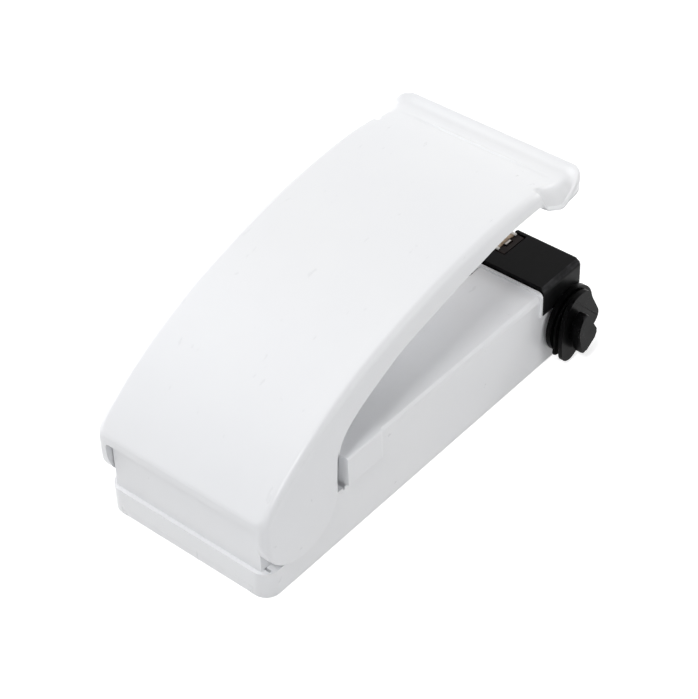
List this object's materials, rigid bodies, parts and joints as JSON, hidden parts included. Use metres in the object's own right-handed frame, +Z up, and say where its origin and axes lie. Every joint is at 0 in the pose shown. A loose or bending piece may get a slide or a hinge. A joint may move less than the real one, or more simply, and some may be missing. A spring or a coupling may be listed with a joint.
{
  "type": "mini bag sealer",
  "caption": "Hand-held battery heat sealer for plastic bags: sprung pressing lid over a heated nose, side rotary lock, sliding battery door.",
  "frame": {"origin": "under the middle of the overall box, on the surface that the sealer stands on, with the lid open as at rest", "axes": "+X from the hinge end to the heated nose, +Y to the left seen from the hinge end (the lock is on -Y), +Z up"},
  "size_m": [0.1028, 0.0516, 0.0475],
  "materials": {
    "white_plastic": "satin moulded ABS",
    "black_plastic": "satin",
    "heater_plastic": "heat-resistant moulding",
    "pad_rubber": "silicone rubber",
    "heater_cloth": "coated glass cloth",
    "rail_plastic": "satin",
    "bright_steel": "bright, nickel plated",
    "contact_brass": "rolled strip",
    "heater_wire": "resistance ribbon",
    "cell_jacket": "printed film over a metal can",
    "red_lead": "insulated wire",
    "black_lead": "insulated wire",
    "white_lead": "insulated wire"
  },
  "bodies": {
    "base": {"base_shell": "white_plastic", "bottom_plate": "white_plastic", "nose_saddle": "black_plastic", "heater_block": "heater_plastic", "heater_cloth": "heater_cloth", "cloth_rail_rear": "rail_plastic", "cloth_rail_front": "rail_plastic", "bottom_screw_rear_right": "bright_steel", "bottom_screw_rear_left": "bright_steel", "bottom_screw_front_right": "bright_steel", "bottom_screw_front_left": "bright_steel", "hinge_pin_right": "bright_steel", "hinge_pin_left": "bright_steel", "bridge_plate": "bright_steel", "negative_plate": "bright_steel", "positive_plate": "bright_steel", "bridge_coil": "bright_steel", "negative_coil": "bright_steel", "return_spring": "bright_steel", "contact_strip_right": "contact_brass", "contact_strip_left": "contact_brass", "heater_strip": "heater_wire", "cell_right": "cell_jacket", "cell_left": "cell_jacket", "lead_from_positive": "red_lead", "lead_to_negative": "black_lead", "lead_switched": "white_lead"},
    "lid": {"lid_shell": "white_plastic", "pad_holder": "black_plastic", "pressing_pad": "pad_rubber", "switch_bridge": "contact_brass", "holder_screw_right": "bright_steel", "holder_screw_left": "bright_steel"},
    "lock": {"lock_shaft": "bright_steel", "lock_disc": "black_plastic", "lock_stop_plate": "black_plastic", "lock_dial": "black_plastic", "lock_grip": "black_plastic", "lock_clip": "bright_steel", "lock_arm": "black_plastic"},
    "door": {"battery_door": "white_plastic"}
  },
  "joints": [
    {"name": "lid_press", "type": "hinge", "parent": "base", "child": "lid", "pos_m": [-0.04095, 0.0021, 0.016], "axis": [0, -1, 0], "range_deg": [-13, 0], "stiffness_Nm_per_rad": 0.63, "springref_deg": 6.13, "deforming": ["return_spring"]},
    {"name": "lock_turn", "type": "hinge", "parent": "base", "child": "lock", "pos_m": [0.04365, 0.0021, 0.0086], "axis": [0, 1, 0], "range_deg": [0, 35]},
    {"name": "door_slide", "type": "slide", "parent": "base", "child": "door", "axis": [-1, 0, 0], "range_m": [0, 0.016]}
  ]
}
